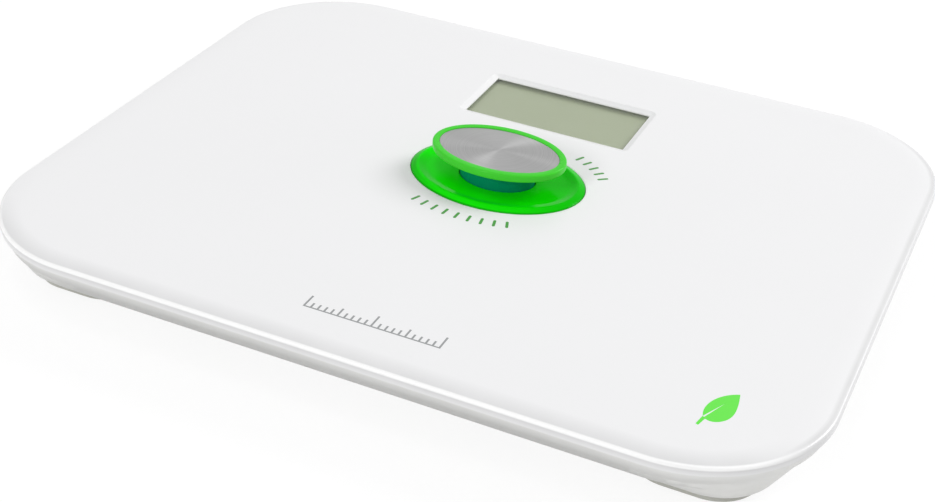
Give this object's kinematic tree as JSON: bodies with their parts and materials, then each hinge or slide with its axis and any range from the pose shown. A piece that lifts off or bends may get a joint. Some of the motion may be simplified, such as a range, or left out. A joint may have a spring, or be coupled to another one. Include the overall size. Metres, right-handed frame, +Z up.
{
  "type": "bathroom scale",
  "caption": "Flat electronic bathroom scale with rounded corners, display window, generator push button in an oval dish and feet under corner boots.",
  "frame": {"origin": "on the floor, below the middle of the platform", "axes": "+X along the platform's long side towards the leaf print, +Y towards the display's side, +Z up"},
  "size_m": [0.31, 0.2516, 0.0387],
  "materials": {
    "housing_white": "satin white moulding",
    "shell_grey": "fine-grained off-white moulding",
    "dish_green": "glossy bright green",
    "cap_green": "glossy green",
    "neck_green": "glossy blue-green",
    "disc_metal": "spun and brushed",
    "clear_window": "clear and polished",
    "lcd_glass": "satin polariser",
    "lcd_foil": "matt reflector foil",
    "elastomer": "striped soft rubber",
    "board_green": "solder-masked glass fibre",
    "chip_black": "potted epoxy",
    "capacitor": "sleeved can",
    "diode": "moulded epoxy with a band",
    "screw_steel": "zinc-plated",
    "spring_steel": "bright spring wire",
    "frame_plastic": "natural moulding",
    "rack_plastic": "natural slippery plastic",
    "gear_plastic": "natural slippery plastic",
    "axle_steel": "ground",
    "can_steel": "drawn and plated",
    "copper": "enamelled winding",
    "magnet": "ferrite",
    "cell_steel": "stamped and plated",
    "gauge_seal": "cast silicone",
    "retainer_grey": "moulding",
    "foot_grey": "satin moulding",
    "pad_rubber": "matt non-slip",
    "lead_white": "soft insulation",
    "leaf_ink": "printed ink",
    "scale_ink": "printed ink",
    "dash_ink": "printed ink"
  },
  "bodies": {
    "housing": {"platform": "housing_white", "base_shell": "shell_grey", "display_window": "clear_window", "lcd_panel": "lcd_glass", "lcd_backing": "lcd_foil", "lcd_frame": "frame_plastic", "zebra_strips": "elastomer", "main_board": "board_green", "controller_chip": "chip_black", "storage_capacitors": "capacitor", "rectifier_diodes": "diode", "board_screws": "screw_steel", "button_dish": "dish_green", "return_springs": "spring_steel", "gearbox_frame": "frame_plastic", "gearbox_screws": "screw_steel", "generator_clamp": "frame_plastic", "generator_can": "can_steel", "generator_cover": "can_steel", "stator_coil": "copper", "generator_lead": "lead_white", "strain_gauges": "gauge_seal", "retainer_screws": "screw_steel", "housing_screws": "screw_steel", "leaf_print": "leaf_ink", "graduation_print": "scale_ink", "dash_print": "dash_ink", "load_cell_front_left": "cell_steel", "cell_retainer_front_left": "retainer_grey", "cell_lead_front_left": "lead_white", "load_cell_front_right": "cell_steel", "cell_retainer_front_right": "retainer_grey", "cell_lead_front_right": "lead_white", "load_cell_rear_left": "cell_steel", "cell_retainer_rear_left": "retainer_grey", "cell_lead_rear_left": "lead_white", "load_cell_rear_right": "cell_steel", "cell_retainer_rear_right": "retainer_grey", "cell_lead_rear_right": "lead_white"},
    "button": {"button_cap": "cap_green", "button_disc": "disc_metal", "button_neck": "neck_green", "plunger_rack": "rack_plastic", "plunger_screws": "screw_steel"},
    "drive_shaft": {"drive_axle": "axle_steel", "drive_pinion": "gear_plastic", "drive_gear": "gear_plastic"},
    "generator_rotor": {"rotor_magnet": "magnet", "rotor_spindle": "axle_steel", "rotor_pinion": "gear_plastic"},
    "foot_front_left": {"foot_cup_front_left": "foot_grey", "foot_pad_front_left": "pad_rubber"},
    "foot_front_right": {"foot_cup_front_right": "foot_grey", "foot_pad_front_right": "pad_rubber"},
    "foot_rear_left": {"foot_cup_rear_left": "foot_grey", "foot_pad_rear_left": "pad_rubber"},
    "foot_rear_right": {"foot_cup_rear_right": "foot_grey", "foot_pad_rear_right": "pad_rubber"}
  },
  "joints": [
    {"name": "button_press", "type": "slide", "parent": "housing", "child": "button", "axis": [0, 0, -1], "range_m": [0, 0.0076], "stiffness_N_per_m": 1000, "springref_m": -0.005, "deforming": ["return_springs"]},
    {"name": "drive_shaft_spin", "type": "hinge", "parent": "housing", "child": "drive_shaft", "pos_m": [0.0036, 0.0052, 0.0134], "axis": [0, 1, 0], "range_deg": [-115, 0]},
    {"name": "generator_spin", "type": "hinge", "parent": "housing", "child": "generator_rotor", "pos_m": [0.01239, 0.0292, 0.0126], "axis": [0, 1, 0], "range_deg": [0, 387]},
    {"name": "foot_float_front_left", "type": "slide", "parent": "housing", "child": "foot_front_left", "axis": [0, 0, -1], "range_m": [0, 0.0007]},
    {"name": "foot_float_front_right", "type": "slide", "parent": "housing", "child": "foot_front_right", "axis": [0, 0, -1], "range_m": [0, 0.0007]},
    {"name": "foot_float_rear_left", "type": "slide", "parent": "housing", "child": "foot_rear_left", "axis": [0, 0, -1], "range_m": [0, 0.0007]},
    {"name": "foot_float_rear_right", "type": "slide", "parent": "housing", "child": "foot_rear_right", "axis": [0, 0, -1], "range_m": [0, 0.0007]}
  ],
  "couplings": [
    {"joint": "drive_shaft_spin", "follows": "button_press", "rad_per_m": -259.74},
    {"joint": "generator_spin", "follows": "button_press", "rad_per_m": 883.12}
  ]
}
